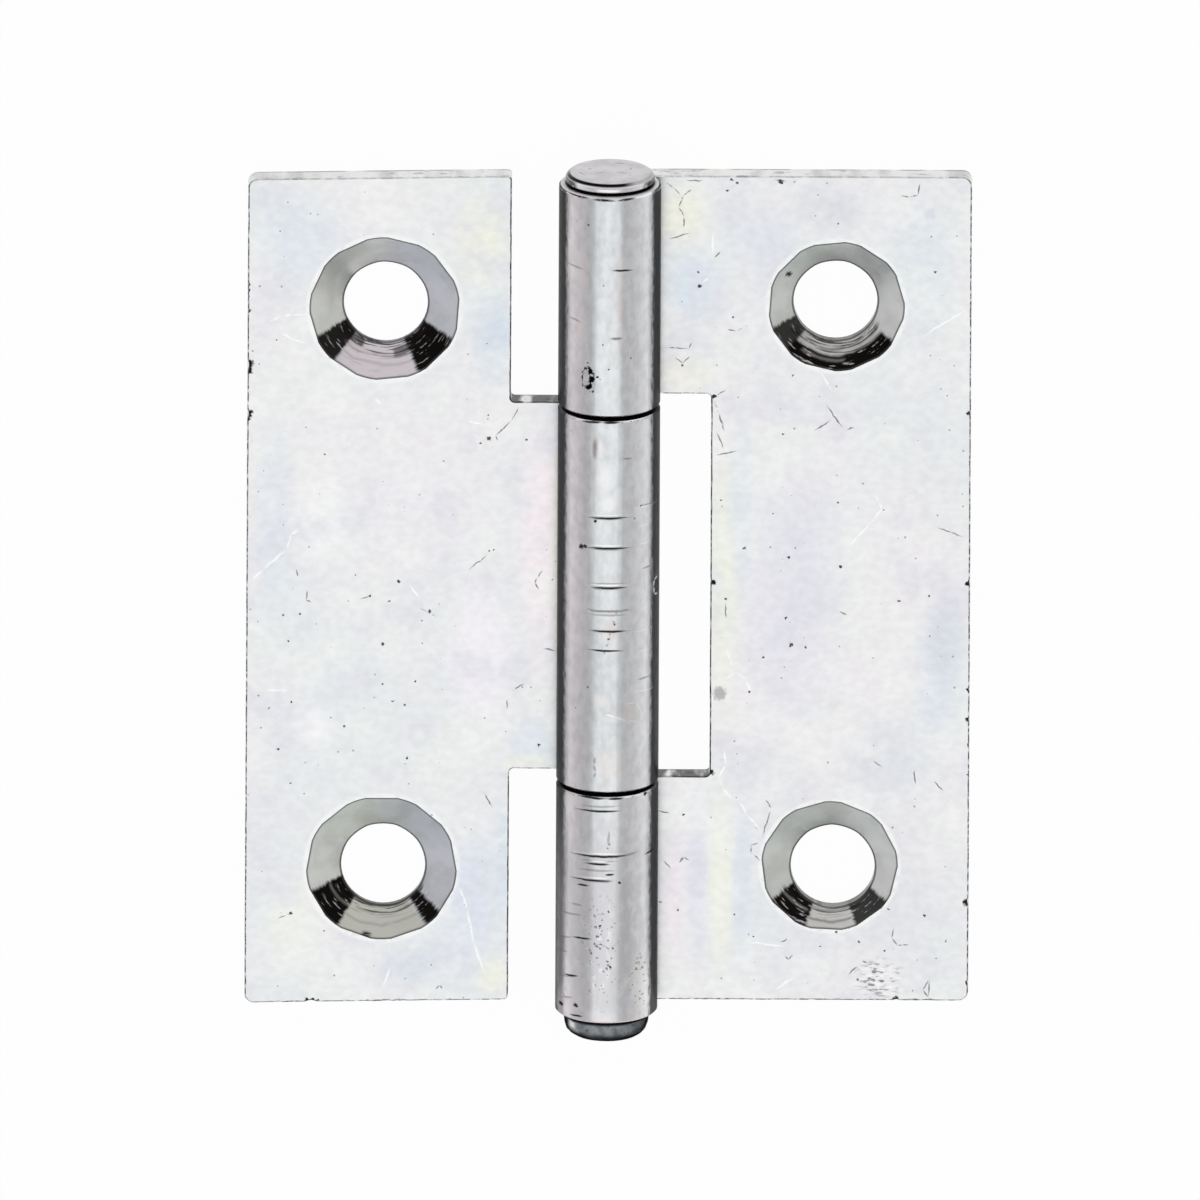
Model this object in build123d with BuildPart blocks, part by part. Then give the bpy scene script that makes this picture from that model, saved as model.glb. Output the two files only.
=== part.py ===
"""Narrow butt hinge: two leaves of zinc-plated steel sheet, curled round one riveted pin.

Sizes are in millimetres. The hinge lies open and flat on its back: the back faces are on z = 0 and
+Z points out of the side that the screw heads sink into. +Y runs along the pin towards its formed
head, and +X runs across the leaves towards the leaf with two knuckles. The origin is on the back
plane, under the pin's axis and half way along the leaves.
"""

import math
import os

from build123d import *

os.makedirs("parts", exist_ok=True)

# Sheet, pin and the fit between them
sheet = 1.2
pin_diameter = 2.3
pin_clearance = 0.025  # on the radius, so that the knuckles turn freely
pin_radius = pin_diameter / 2
bore_radius = pin_radius + pin_clearance
barrel_radius = bore_radius + sheet  # also the height of the pin's axis above the back plane
pin_axis = Axis((0, 0, barrel_radius), (0, 1, 0))

# Outline of the leaves
leaf_length = 40.3  # along the pin
leaf_stagger = 0.08  # the two-knuckle leaf lies this much towards the pin's head, the other away from it
leaf_reach = 16.8  # from the pin's axis to the free long edge
notch_reach = 4.55  # from the axis to the edge that faces each end knuckle
window_reach = 4.73  # from the axis to the edge that faces the middle knuckle
end_skew = 1.0  # the ends of the leaf with one knuckle are cut out of square by this angle
free_corner_radius = 0.45
notch_corner_radius = 0.2
back_rounding = 0.2  # edge drawn over by the blanking die, on the back and the barrel's outside
front_chamfer = 0.06  # deburred edge on the front
leaf_end = leaf_length / 2

# Knuckles along the pin
middle_length = 18.25
middle_shift = 0.27  # centre of the middle knuckle, towards the pin's head
knuckle_gap = 0.12  # running gap at each end of the middle knuckle
notch_reliefs = (0.25, 0.03)  # the sheet is narrower than the middle knuckle, at its head and tail ends
window_reliefs = (0.03, 0.16)  # and is cut back beside the end knuckles, at the head and at the tail
head_end_overhang = 0.05  # the knuckle under the pin's head stands past the end of the leaf
tail_end_overhang = 0.05  # so does the knuckle over the tail
seam_gap = 0.12  # between the curled edge and the front face it comes round to
middle_low = middle_shift - middle_length / 2
middle_high = middle_shift + middle_length / 2
tail_knuckle_low = leaf_stagger - leaf_end - tail_end_overhang
tail_knuckle_high = middle_low - knuckle_gap
head_knuckle_low = middle_high + knuckle_gap
head_knuckle_high = leaf_stagger + leaf_end + head_end_overhang

# The curl goes on round the pin until its outer corner is one seam gap above the front face
seam_height = sheet + seam_gap
curl_angle = 270 - math.degrees(math.asin(seam_height / barrel_radius - 1))

# Screw holes and their countersinks, which the tool left with flats
hole_diameter = 3.9
hole_spacing_one = 27.5  # along the pin, on the leaf with one knuckle
hole_spacing_two = 27.65  # and on the leaf with two knuckles
hole_reach_one = 10.38  # from the pin's axis
hole_reach_two = 10.48
sink_diameter_one = 7.0
sink_diameter_two = 6.35
sink_angle = 112.0  # included
sink_flat_count = 9
sink_flat_depth = 0.08  # of each flat inside the full cone
sink_turns_one = (-4.0, 10.0)  # angle of the flats at the head end and at the tail end
sink_turns_two = (16.0, 27.0)
sink_shifts_one = ((-0.05, -0.02), (-0.08, 0.14))  # centre of each countersink from that of its hole
sink_shifts_two = ((0.05, -0.03), (-0.15, 0.25))
sink_tip_margin = 0.4  # the cutter's tip stays inside the hole's wall by this much
hole_radius = hole_diameter / 2
hole_ends_one = (hole_spacing_one / 2 - leaf_stagger, -hole_spacing_one / 2 - leaf_stagger)
hole_ends_two = (hole_spacing_two / 2 + leaf_stagger, -hole_spacing_two / 2 + leaf_stagger)

# Ends of the pin
head_diameter = 4.15
head_height = 0.45
head_gap = 0.1  # under the head
head_chamfer = 0.2
tail_diameter = 4.04
tail_end_diameter = 3.7
tail_height = 1.18
tail_chamfer = 0.35
head_low = head_knuckle_high + head_gap
head_high = head_low + head_height
tail_end = tail_knuckle_low - tail_height


def countersink_cutter(diameter):
    """Return a cone with flats that stands on its wide face and narrows upwards into the hole."""
    half_angle = sink_angle / 2
    tip_radius = hole_radius - sink_tip_margin
    depth = (diameter / 2 - tip_radius) / math.tan(math.radians(half_angle))
    with BuildPart() as cutter:
        Cone(diameter / 2, tip_radius, depth, align=(Align.CENTER, Align.CENTER, Align.MIN))
        with BuildSketch():
            flat_turn = 180 / sink_flat_count
            flat_reach = diameter / 2 - sink_flat_depth
            RegularPolygon(flat_reach, sink_flat_count, major_radius=False, rotation=flat_turn)
        extrude(amount=depth, taper=half_angle, mode=Mode.INTERSECT)
    return cutter.part


# Leaf with one knuckle: blank, then the curled tongue, then the screw holes
cutter_one = countersink_cutter(sink_diameter_one)
skew_rise = (leaf_reach - notch_reach) / 2 * math.tan(math.radians(end_skew))
one_high = leaf_end - leaf_stagger
one_low = -leaf_end - leaf_stagger
middle_tongue_high = middle_high - notch_reliefs[0]
middle_tongue_low = middle_low + notch_reliefs[1]

with BuildPart() as leaf_one:
    with BuildSketch() as blank_one:
        Polygon(
            (-leaf_reach, one_low - skew_rise),
            (-notch_reach, one_low + skew_rise),
            (-notch_reach, one_high + skew_rise),
            (-leaf_reach, one_high - skew_rise),
            align=None,
        )
        with Locations((0, middle_tongue_low)):
            Rectangle(notch_reach, middle_tongue_high - middle_tongue_low, align=(Align.MAX, Align.MIN))
        fillet(blank_one.vertices().group_by(Axis.X)[0], free_corner_radius)
        fillet(blank_one.vertices().group_by(Axis.X)[-2], notch_corner_radius)
    extrude(amount=sheet)
    fillet(leaf_one.edges().group_by(Axis.Z)[0].sort_by(Axis.X)[:-1], back_rounding)
    chamfer(leaf_one.edges().group_by(Axis.Z)[-1].sort_by(Axis.X)[:-1], front_chamfer)
    with BuildSketch(Plane.YZ) as tongue_section:
        with Locations((middle_shift, 0)):
            Rectangle(middle_length, sheet, align=(Align.CENTER, Align.MIN))
        fillet(tongue_section.vertices().group_by(Axis.Y)[0], back_rounding)
        chamfer(tongue_section.vertices().group_by(Axis.Y)[-1], front_chamfer)
    revolve(axis=pin_axis, revolution_arc=-curl_angle)
    for end, turn, (across, along) in zip(hole_ends_one, sink_turns_one, sink_shifts_one):
        with Locations((-hole_reach_one, end, sheet)):
            Hole(hole_radius)
        with Locations(Location((-hole_reach_one + across, end + along, sheet), (180, 0, -turn))):
            add(cutter_one, mode=Mode.SUBTRACT)

leaf_one.part.label = "leaf_one_knuckle"
export_step(leaf_one.part, "parts/leaf_one_knuckle.step")

# Leaf with two knuckles: blank, then the two curled tongues, then the screw holes
cutter_two = countersink_cutter(sink_diameter_two)
head_tongue_low = head_knuckle_low + window_reliefs[0]
tail_tongue_high = tail_knuckle_high - window_reliefs[1]
two_high = leaf_end + leaf_stagger
two_low = -leaf_end + leaf_stagger

with BuildPart() as leaf_two:
    with BuildSketch() as blank_two:
        with Locations((leaf_reach, leaf_stagger)):
            Rectangle(leaf_reach - window_reach, leaf_length, align=(Align.MAX, Align.CENTER))
        with Locations((0, two_high)):
            Rectangle(window_reach, two_high - head_tongue_low, align=(Align.MIN, Align.MAX))
        with Locations((0, two_low)):
            Rectangle(window_reach, tail_tongue_high - two_low, align=(Align.MIN, Align.MIN))
        fillet(blank_two.vertices().group_by(Axis.X)[-1], free_corner_radius)
        fillet(blank_two.vertices().group_by(Axis.X)[1], notch_corner_radius)
    extrude(amount=sheet)
    fillet(leaf_two.edges().group_by(Axis.Z)[0].sort_by(Axis.X)[2:], back_rounding)
    chamfer(leaf_two.edges().group_by(Axis.Z)[-1].sort_by(Axis.X)[2:], front_chamfer)
    for low, high in ((tail_knuckle_low, tail_knuckle_high), (head_knuckle_low, head_knuckle_high)):
        with BuildSketch(Plane.YZ) as end_section:
            with Locations((low, 0)):
                Rectangle(high - low, sheet, align=(Align.MIN, Align.MIN))
            fillet(end_section.vertices().group_by(Axis.Y)[0], back_rounding)
            chamfer(end_section.vertices().group_by(Axis.Y)[-1], front_chamfer)
        revolve(axis=pin_axis, revolution_arc=curl_angle)
    for end, turn, (across, along) in zip(hole_ends_two, sink_turns_two, sink_shifts_two):
        with Locations((hole_reach_two, end, sheet)):
            Hole(hole_radius)
        with Locations(Location((hole_reach_two + across, end + along, sheet), (180, 0, -turn))):
            add(cutter_two, mode=Mode.SUBTRACT)

leaf_two.part.label = "leaf_two_knuckles"
export_step(leaf_two.part, "parts/leaf_two_knuckles.step")

# Pin: flat formed head at one end, riveted tail drawn up tight on the other knuckle
with BuildPart() as pin:
    with BuildSketch(Plane((0, 0, barrel_radius), x_dir=(0, 1, 0), z_dir=(1, 0, 0))) as pin_half:
        with BuildLine():
            Polyline(
                (tail_end, 0),
                (tail_end, tail_end_diameter / 2),
                (tail_knuckle_low, tail_diameter / 2),
                (tail_knuckle_low, pin_radius),
                (head_low, pin_radius),
                (head_low, head_diameter / 2),
                (head_high, head_diameter / 2),
                (head_high, 0),
                close=True,
            )
        make_face()
        chamfer(pin_half.vertices().group_by(Axis.X)[0].sort_by(Axis.Y)[-1], tail_chamfer)
        chamfer(pin_half.vertices().group_by(Axis.X)[-1].sort_by(Axis.Y)[-1], head_chamfer)
    revolve(axis=pin_axis)

pin.part.label = "pin"
export_step(pin.part, "parts/pin.step")
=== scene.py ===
import math

import bmesh
import bpy
from mathutils import Matrix, Vector, noise


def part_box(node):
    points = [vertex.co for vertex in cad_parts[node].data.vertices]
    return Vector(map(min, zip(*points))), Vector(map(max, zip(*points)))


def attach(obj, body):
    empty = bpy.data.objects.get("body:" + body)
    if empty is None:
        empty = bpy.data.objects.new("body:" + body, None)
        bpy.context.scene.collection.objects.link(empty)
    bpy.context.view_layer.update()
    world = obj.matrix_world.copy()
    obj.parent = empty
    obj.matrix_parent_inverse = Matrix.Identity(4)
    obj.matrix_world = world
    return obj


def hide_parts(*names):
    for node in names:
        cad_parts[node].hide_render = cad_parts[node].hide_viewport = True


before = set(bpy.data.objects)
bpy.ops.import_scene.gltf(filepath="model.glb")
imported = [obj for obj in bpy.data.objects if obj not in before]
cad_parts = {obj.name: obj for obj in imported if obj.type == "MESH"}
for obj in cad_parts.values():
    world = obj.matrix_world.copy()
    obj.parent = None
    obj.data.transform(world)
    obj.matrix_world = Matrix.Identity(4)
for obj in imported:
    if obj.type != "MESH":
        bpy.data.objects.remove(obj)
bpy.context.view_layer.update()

# Leaf with two knuckles
# The right-hand leaf is blanked from steel sheet, its two end tongues are curled round the pin, and its
# screw holes are countersunk with a tool that chattered. It is bright zinc plated after forming.

# Sizes are in millimetres from here on, in the hinge's own frame
millimetre = 0.001
sheet = 1.2
barrel_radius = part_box("leaf_two_knuckles")[1].z / 2 / millimetre
rim_rounding = 0.21
bore_wall = barrel_radius - sheet + 0.2
sink_reach = 3.75
touch = 0.003
right_sinks = ((10.53, 13.875), (10.33, -13.495))
right_holes = ((10.48, 13.905), (10.48, -13.745))
face_bands = ((-21.0, -10.0), (-10.0, 0.0), (0.0, 10.0), (10.0, 21.0))
edge_slot, sink_slot, tail_sink_slot, knuckle_slot, gap_slot = range(len(face_bands), len(face_bands) + 5)


def from_axis(place):
    """Return how far a point is from the pin's axis."""
    return math.hypot(place.x, place.z - barrel_radius)


def slice_faces(shape, faces, planes):
    """Cut the faces along each plane, so that they have points to press marks into."""
    parts = [*{edge for face in faces for edge in face.edges}, *faces]
    parts += {corner for face in faces for corner in face.verts}
    for point, direction in planes:
        cut = bmesh.ops.bisect_plane(shape, geom=parts, dist=0.002, plane_co=point, plane_no=direction)
        parts = cut["geom"]
    return [part for part in parts if isinstance(part, bmesh.types.BMFace)]


def barrel_faces(shape):
    """Return the faces on the outside of the curled knuckles, with their rounded rims."""
    found = []
    for face in shape.faces:
        reaches = [from_axis(corner.co) for corner in face.verts]
        if min(reaches) > barrel_radius - rim_rounding and max(reaches) < barrel_radius + touch:
            found.append(face)
    return found


def wall_faces(shape, sinks):
    """Return the sheared faces round the outline of the flat leaf."""
    found = []
    for face in shape.faces:
        centre = face.calc_center_median()
        clear = all(math.hypot(centre.x - x, centre.y - y) > sink_reach for x, y in sinks)
        if clear and abs(face.normal.z) < 0.9 and abs(centre.x) > barrel_radius + 0.05:
            found.append(face)
    return found


def pressed_depth(place, roll_marks, dents):
    """Return how deep the curling tools marked the barrel at a point."""
    run_out = 0.25
    groove_width = 0.05
    lip_offset, lip_width, lip_share = 0.11, 0.06, 0.35
    depth = 0
    for along, low, high, deep in roll_marks:
        ends = min(1, max(0, (place.x - low) / run_out)) * min(1, max(0, (high - place.x) / run_out))
        groove = math.exp(-(((place.y - along) / groove_width) ** 2))
        lip = math.exp(-(((place.y - along - lip_offset) / lip_width) ** 2))
        depth += deep * ends * (groove - lip_share * lip)
    for across, along, half_width, half_length, deep in dents:
        away = math.hypot((place.x - across) / half_width, (place.y - along) / half_length)
        depth += deep * math.exp(-away * away)
    return depth


def put_in_scene(shape, name):
    """Make an object of a shape that is drawn in millimetres."""
    bmesh.ops.scale(shape, vec=Vector((1, 1, 1)) * millimetre, verts=shape.verts)
    mesh = bpy.data.meshes.new(name)
    shape.to_mesh(mesh)
    shape.free()
    made = bpy.data.objects.new(name, mesh)
    bpy.context.collection.objects.link(made)
    return made


def formed_leaf(node, name, sinks, roll_marks, dents, nicks):
    """Copy a packed leaf, press the marks of forming and use into it, and sort its faces by finish."""
    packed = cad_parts[node].data
    shape = bmesh.new()
    corners = [shape.verts.new(corner.co / millimetre) for corner in packed.vertices]
    for face in packed.polygons:
        shape.faces.new([corners[place] for place in face.vertices])
    bmesh.ops.remove_doubles(shape, verts=shape.verts, dist=0.0005)

    axis_point = Vector((0, 0, barrel_radius))
    around = [(axis_point, Vector((math.cos(math.radians(turn)), 0, math.sin(math.radians(turn)))))
              for turn in range(0, 180, 5)]
    groove_step = 0.045
    pin_way = Vector((0, 1, 0))
    along = [mark[0] + groove_step * step for mark in roll_marks for step in range(-3, 6)]
    along += [dent[1] + dent[3] * step / 3 for dent in dents for step in range(-6, 7)]
    faces = slice_faces(shape, barrel_faces(shape), around + [(pin_way * place, pin_way) for place in along])
    for corner in {corner for face in faces for corner in face.verts}:
        reach = from_axis(corner.co)
        if reach > barrel_radius - 0.02:
            depth = pressed_depth(corner.co, roll_marks, dents) if corner.co.z > barrel_radius else 0
            share = (barrel_radius - max(0, depth)) / reach
            corner.co.x *= share
            corner.co.z = barrel_radius + (corner.co.z - barrel_radius) * share

    shape.normal_update()
    flats = [face for face in shape.faces if abs(face.normal.z) > 0.999]
    slice_faces(shape, flats, [(pin_way * band[0], pin_way) for band in face_bands[1:]])
    wall_step = 0.45
    wall_steps = 45
    faces = []
    for across in (0, 1):
        direction = Vector((1 - across, across, 0))
        crosscuts = [direction * wall_step * step for step in range(-wall_steps, wall_steps + 1)]
        for nick in nicks:
            crosscuts += [direction * (nick[across] + nick[2] * step / 2) for step in range(-2, 3)]
        facing = [face for face in wall_faces(shape, sinks) if abs(face.normal[across]) < 0.7]
        faces += slice_faces(shape, facing, [(place, direction) for place in crosscuts])
    burr_foot = 0.5
    burr_depth = 0.03
    chip_share = 0.3
    for corner in {corner for face in faces for corner in face.verts}:
        place = corner.co.copy()
        outward = sum((face.normal for face in corner.link_faces), Vector())
        outward.z = 0
        if place.z < burr_foot or outward.length < 0.1:
            continue
        outward.normalize()
        ragged = 0.5 + 0.5 * noise.noise(place * 2.3) + 0.4 * noise.noise(place * 7.1)
        rise = min(1, (place.z - burr_foot) * 2)
        inward = burr_depth * max(0, ragged) * rise
        for across, lengthwise, radius in nicks:
            away = math.hypot(place.x - across, place.y - lengthwise) / radius
            inward += chip_share * radius * max(0, 1 - away * away) * rise
        corner.co -= outward * inward

    bmesh.ops.triangulate(shape, faces=[face for face in shape.faces if len(face.verts) > 3])
    shape.normal_update()
    for face in shape.faces:
        centre = face.calc_center_median()
        reach = max(from_axis(corner.co) for corner in face.verts)
        in_sink = any(math.hypot(centre.x - x, centre.y - y) < sink_reach for x, y in sinks)
        face.smooth = True
        if reach < barrel_radius + touch:
            hidden = abs(face.normal.y) > 0.8 or reach < bore_wall
            face.material_index = gap_slot if hidden else knuckle_slot
        elif in_sink and abs(face.normal.z) < 0.98 and centre.z > 0.001:
            face.material_index = sink_slot if centre.y > 0 else tail_sink_slot
        elif abs(face.normal.z) > 0.95:
            face.material_index = sum(centre.y > band[0] for band in face_bands[1:])
            face.smooth = abs(face.normal.z) < 0.9999
        else:
            face.material_index = edge_slot
    seats = (sink_slot, tail_sink_slot)
    seat_crease = math.radians(30)
    crease = math.radians(22)
    for edge in shape.edges:
        in_seat = all(face.material_index in seats for face in edge.link_faces)
        edge.smooth = edge.calc_face_angle(math.pi) < (seat_crease if in_seat else crease)
    return put_in_scene(shape, name)


def paint(red, green, blue):
    """Return a colour, given in the usual 0 to 255, as the light that it reflects."""
    shares = [level / 255 for level in (red, green, blue)]
    return (*[share / 12.92 if share < 0.04045 else ((share + 0.055) / 1.055) ** 2.4 for share in shares], 1)


class Nodes:
    """A tree of shader nodes, grown by calls that each add a node or a few."""

    def __init__(self, tree):
        self.tree = tree

    def node(self, kind, **settings):
        made = self.tree.nodes.new(kind)
        for setting, value in settings.items():
            setattr(made, setting, value)
        return made

    def feed(self, socket, value):
        if isinstance(value, bpy.types.NodeSocket):
            self.tree.links.new(value, socket)
        else:
            socket.default_value = value

    def vector(self, operation, first, second=(0, 0, 0)):
        made = self.node("ShaderNodeVectorMath", operation=operation)
        self.feed(made.inputs[0], first)
        self.feed(made.inputs[1], second)
        return made.outputs["Value" if operation in ("LENGTH", "DISTANCE") else "Vector"]

    def split(self, vector):
        made = self.node("ShaderNodeSeparateXYZ")
        self.feed(made.inputs[0], vector)
        return made.outputs

    def join(self, first, second):
        made = self.node("ShaderNodeCombineXYZ")
        self.feed(made.inputs[0], first)
        self.feed(made.inputs[1], second)
        return made.outputs[0]

    def math(self, operation, first, second=0.0, third=0.0):
        made = self.node("ShaderNodeMath", operation=operation)
        for socket, value in zip(made.inputs, (first, second, third)):
            self.feed(socket, value)
        return made.outputs[0]

    def fade(self, value, low, high):
        """Rise smoothly from 0 where the value is low to 1 where it is high."""
        made = self.node("ShaderNodeMapRange", interpolation_type="SMOOTHSTEP")
        for socket, given in zip(made.inputs, (value, low, high)):
            self.feed(socket, given)
        return made.outputs[0]

    def between(self, value, low, high, edge):
        """Return 1 from low to high and 0 outside, with soft edges."""
        return self.times(self.fade(value, low - edge, low + edge),
                          self.fade(value, high + edge, high - edge))

    def times(self, first, *others):
        for other in others:
            first = self.math("MULTIPLY", first, other)
        return first

    def most(self, first, *others):
        for other in others:
            first = self.math("MAXIMUM", first, other)
        return first


class Finish(Nodes):
    """A metal finish, made by laying one colour over another.

    Lengths are in millimetres, in the hinge's own frame, and colours are given in the usual 0 to 255.
    """

    def __init__(self, name):
        self.material = bpy.data.materials.new(name)
        self.material.use_nodes = True
        super().__init__(self.material.node_tree)
        self.shader = self.tree.nodes["Principled BSDF"]
        self.shader.inputs["Metallic"].default_value = 1
        self.place = self.node("ShaderNodeTexCoord").outputs
        self.point = self.vector("MULTIPLY", self.place["Object"], [1 / millimetre] * 3)
        self.x, self.y, self.z = self.split(self.point)
        self.plan = self.vector("MULTIPLY", self.point, (1, 1, 0))

    def mix(self, share, first, second, blend_type="MIX"):
        made = self.node("ShaderNodeMix", data_type="RGBA", blend_type=blend_type)
        for place, value in ((0, share), (6, first), (7, second)):
            self.feed(made.inputs[place], value)
        return made.outputs[2]

    def ground(self, share, first, second):
        """Begin with a colour that drifts from the first to the second."""
        self.colour = self.mix(share, paint(*first), paint(*second))

    def lay(self, tint, *shares):
        """Lay a colour over what is there, as far as the shares multiplied together say."""
        self.colour = self.mix(self.times(*shares), self.colour, paint(*tint))

    def dull(self, tint, share):
        """Darken what is there by a tint."""
        self.colour = self.mix(share, self.colour, paint(*tint), "MULTIPLY")

    def finished(self, roughness):
        self.feed(self.shader.inputs["Base Color"], self.colour)
        self.feed(self.shader.inputs["Roughness"], roughness)
        return self.material

    def cloud(self, per_mm, detail=2.0, stretch=(1, 1, 1), shift=(0, 0, 0), point=None):
        """Return soft random clouds from 0 to 1, so many to the millimetre."""
        scaled = self.vector("MULTIPLY", point or self.point, [per_mm * share for share in stretch])
        made = self.node("ShaderNodeTexNoise")
        self.feed(made.inputs["Vector"], self.vector("ADD", scaled, shift))
        made.inputs["Scale"].default_value = 1
        made.inputs["Detail"].default_value = detail
        return made.outputs["Fac"]

    def oval(self, plan, across, along, half_width, half_length, turn=0.0):
        """Return how far a point seen in plan is from an oval's centre, 1 being on the oval."""
        fitted = self.node("ShaderNodeMapping", vector_type="TEXTURE")
        self.feed(fitted.inputs["Vector"], plan)
        fitted.inputs["Location"].default_value = (across, along, 0)
        fitted.inputs["Rotation"].default_value = (0, 0, turn)
        fitted.inputs["Scale"].default_value = (half_width, half_length, 1)
        return self.vector("LENGTH", fitted.outputs[0])

    def strokes(self, plan, lines, width):
        """Return 1 on lines seen in plan, each run thinning out to its ends, and 0 away from them."""
        nearest = 9.0
        for line in lines:
            for start, end in zip(line, line[1:]):
                run = Vector((end[0] - start[0], end[1] - start[1]))
                middle = ((start[0] + end[0]) / 2, (start[1] + end[1]) / 2)
                turn = math.atan2(run.y, run.x)
                stroke = self.oval(plan, *middle, run.length * 0.6, width, turn)
                nearest = self.math("MINIMUM", nearest, stroke)
        return self.fade(nearest, 1.0, 0.4)

    def spots(self, plan, places):
        """Return 1 in round spots seen in plan, and 0 away from them."""
        nearest = 9.0
        for across, along, radius in places:
            nearest = self.math("MINIMUM", nearest, self.oval(plan, across, along, radius, radius))
        return self.fade(nearest, 1.0, 0.5)

    def wash(self, across, along, half_width, half_length):
        """Return a soft patch seen in plan."""
        return self.fade(self.oval(self.plan, across, along, half_width, half_length), 1.0, 0.2)

    def shaken_plan(self, reach, per_mm=3.0):
        """Return the plan shaken a little, so that scratches aren't ruler straight nor pits quite round."""
        shake = self.node("ShaderNodeTexNoise")
        self.feed(shake.inputs["Vector"], self.point)
        shake.inputs["Scale"].default_value = per_mm
        centred = self.vector("SUBTRACT", shake.outputs["Color"], (0.5, 0.5, 0.5))
        return self.vector("ADD", self.plan, self.vector("MULTIPLY", centred, (reach, reach, 0)))

    def specks(self, per_mm, radius, share, point=None):
        """Return small pits scattered at random, with only a share of the places pitted."""
        made = self.node("ShaderNodeTexVoronoi")
        self.feed(made.inputs["Vector"], point or self.point)
        made.inputs["Scale"].default_value = per_mm
        distance = self.math("DIVIDE", made.outputs["Distance"], per_mm)
        split = self.node("ShaderNodeSeparateColor")
        self.feed(split.inputs[0], made.outputs["Color"])
        size = self.math("MULTIPLY", split.outputs[1], radius)
        pit = self.math("LESS_THAN", distance, size)
        return self.math("MULTIPLY", pit, self.math("LESS_THAN", split.outputs[0], share))

    def raise_by(self, height, strength, reach):
        bump = self.node("ShaderNodeBump")
        bump.inputs["Strength"].default_value = strength
        bump.inputs["Distance"].default_value = reach * millimetre
        self.feed(bump.inputs["Height"], height)
        self.feed(self.shader.inputs["Normal"], bump.outputs[0])


def within(band, along):
    """Tell whether a mark is near enough to a band of the leaf to show on it."""
    return band[0] - 0.4 < along < band[1] + 0.4


def plated_face(name, band, washes, scratches, hairlines, pits, patches, scuffs, seats):
    """Bright zinc on one band of the flat sheet: pastel drifts, pits, scratches and hairlines."""
    scratches, hairlines = [[line for line in lines if any(within(band, along) for across, along in line)]
                            for lines in (scratches, hairlines)]
    pits, scuffs, seats = [[mark for mark in marks if within(band, mark[1])]
                           for marks in (pits, scuffs, seats)]
    patches = [patch for patch in patches if within(band, patch[0][1])]
    zinc = Finish(name)
    zinc.ground(zinc.fade(zinc.cloud(0.11, 3), 0.35, 0.65), (231, 234, 236), (238, 236, 238))
    zinc.lay((236, 239, 237), zinc.fade(zinc.cloud(0.3, 3, shift=(7, 3, 1)), 0.45, 0.7), 0.7)
    for tint, place, strength in washes:
        zinc.lay(tint, zinc.wash(*place), strength)
    blotch = zinc.cloud(0.42, 3, shift=(3, 6, 2))
    zinc.lay((222, 223, 231), zinc.fade(blotch, 0.52, 0.68), 0.5)
    zinc.lay((243, 244, 242), zinc.fade(blotch, 0.47, 0.33), 0.45)
    grain = zinc.cloud(2.6, 5, stretch=(0.85, 1.05, 1), shift=(2, 5, 9))
    zinc.dull((250, 250, 250), zinc.fade(grain, 0.34, 0.66))
    front = zinc.fade(zinc.z, 1.0, 1.15)
    rough_plan = zinc.shaken_plan(0.34, 6.0)
    for place, radius, tint, strength in patches:
        zinc.lay(tint, zinc.spots(rough_plan, [(*place, radius)]), strength, front)
    plan = zinc.shaken_plan(0.16)
    broken = zinc.fade(zinc.cloud(3, 2), 0.28, 0.48)
    zinc.lay((250, 250, 250), zinc.strokes(plan, scratches, 0.075), front, broken, 0.85)
    zinc.lay((96, 96, 100), zinc.strokes(plan, hairlines, 0.046), front, broken, 0.8)
    flecks = zinc.cloud(4.6, 3, stretch=(0.6, 1.5, 1), shift=(8, 1, 2))
    for place in scuffs:
        scuffed = zinc.times(zinc.wash(*place), front)
        zinc.lay((250, 249, 244), scuffed, zinc.fade(flecks, 0.45, 0.38), 0.8)
        zinc.lay((100, 94, 90), scuffed, zinc.fade(flecks, 0.53, 0.62), 0.8)
    for across, along, radius in seats:
        away = zinc.oval(zinc.plan, across, along, radius, radius)
        ring = zinc.times(zinc.fade(away, 1.07, 1.01), zinc.fade(grain, 0.35, 0.55))
        zinc.lay((250, 250, 250), ring, front, 0.7)
    dark = zinc.times(zinc.spots(zinc.shaken_plan(0.2, 9.0), pits), front)
    dark = zinc.most(dark, zinc.times(zinc.specks(0.9, 0.07, 0.6), 0.8),
                     zinc.times(zinc.specks(1.9, 0.055, 0.6), 0.5))
    zinc.lay((56, 56, 60), dark, 0.9)
    zinc.raise_by(zinc.cloud(1.6, 3), 0.12, 0.03)
    gloss = zinc.math("MULTIPLY_ADD", grain, 0.12, 0.24)
    return zinc.finished(zinc.math("MULTIPLY_ADD", dark, 0.3, gloss))


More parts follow.
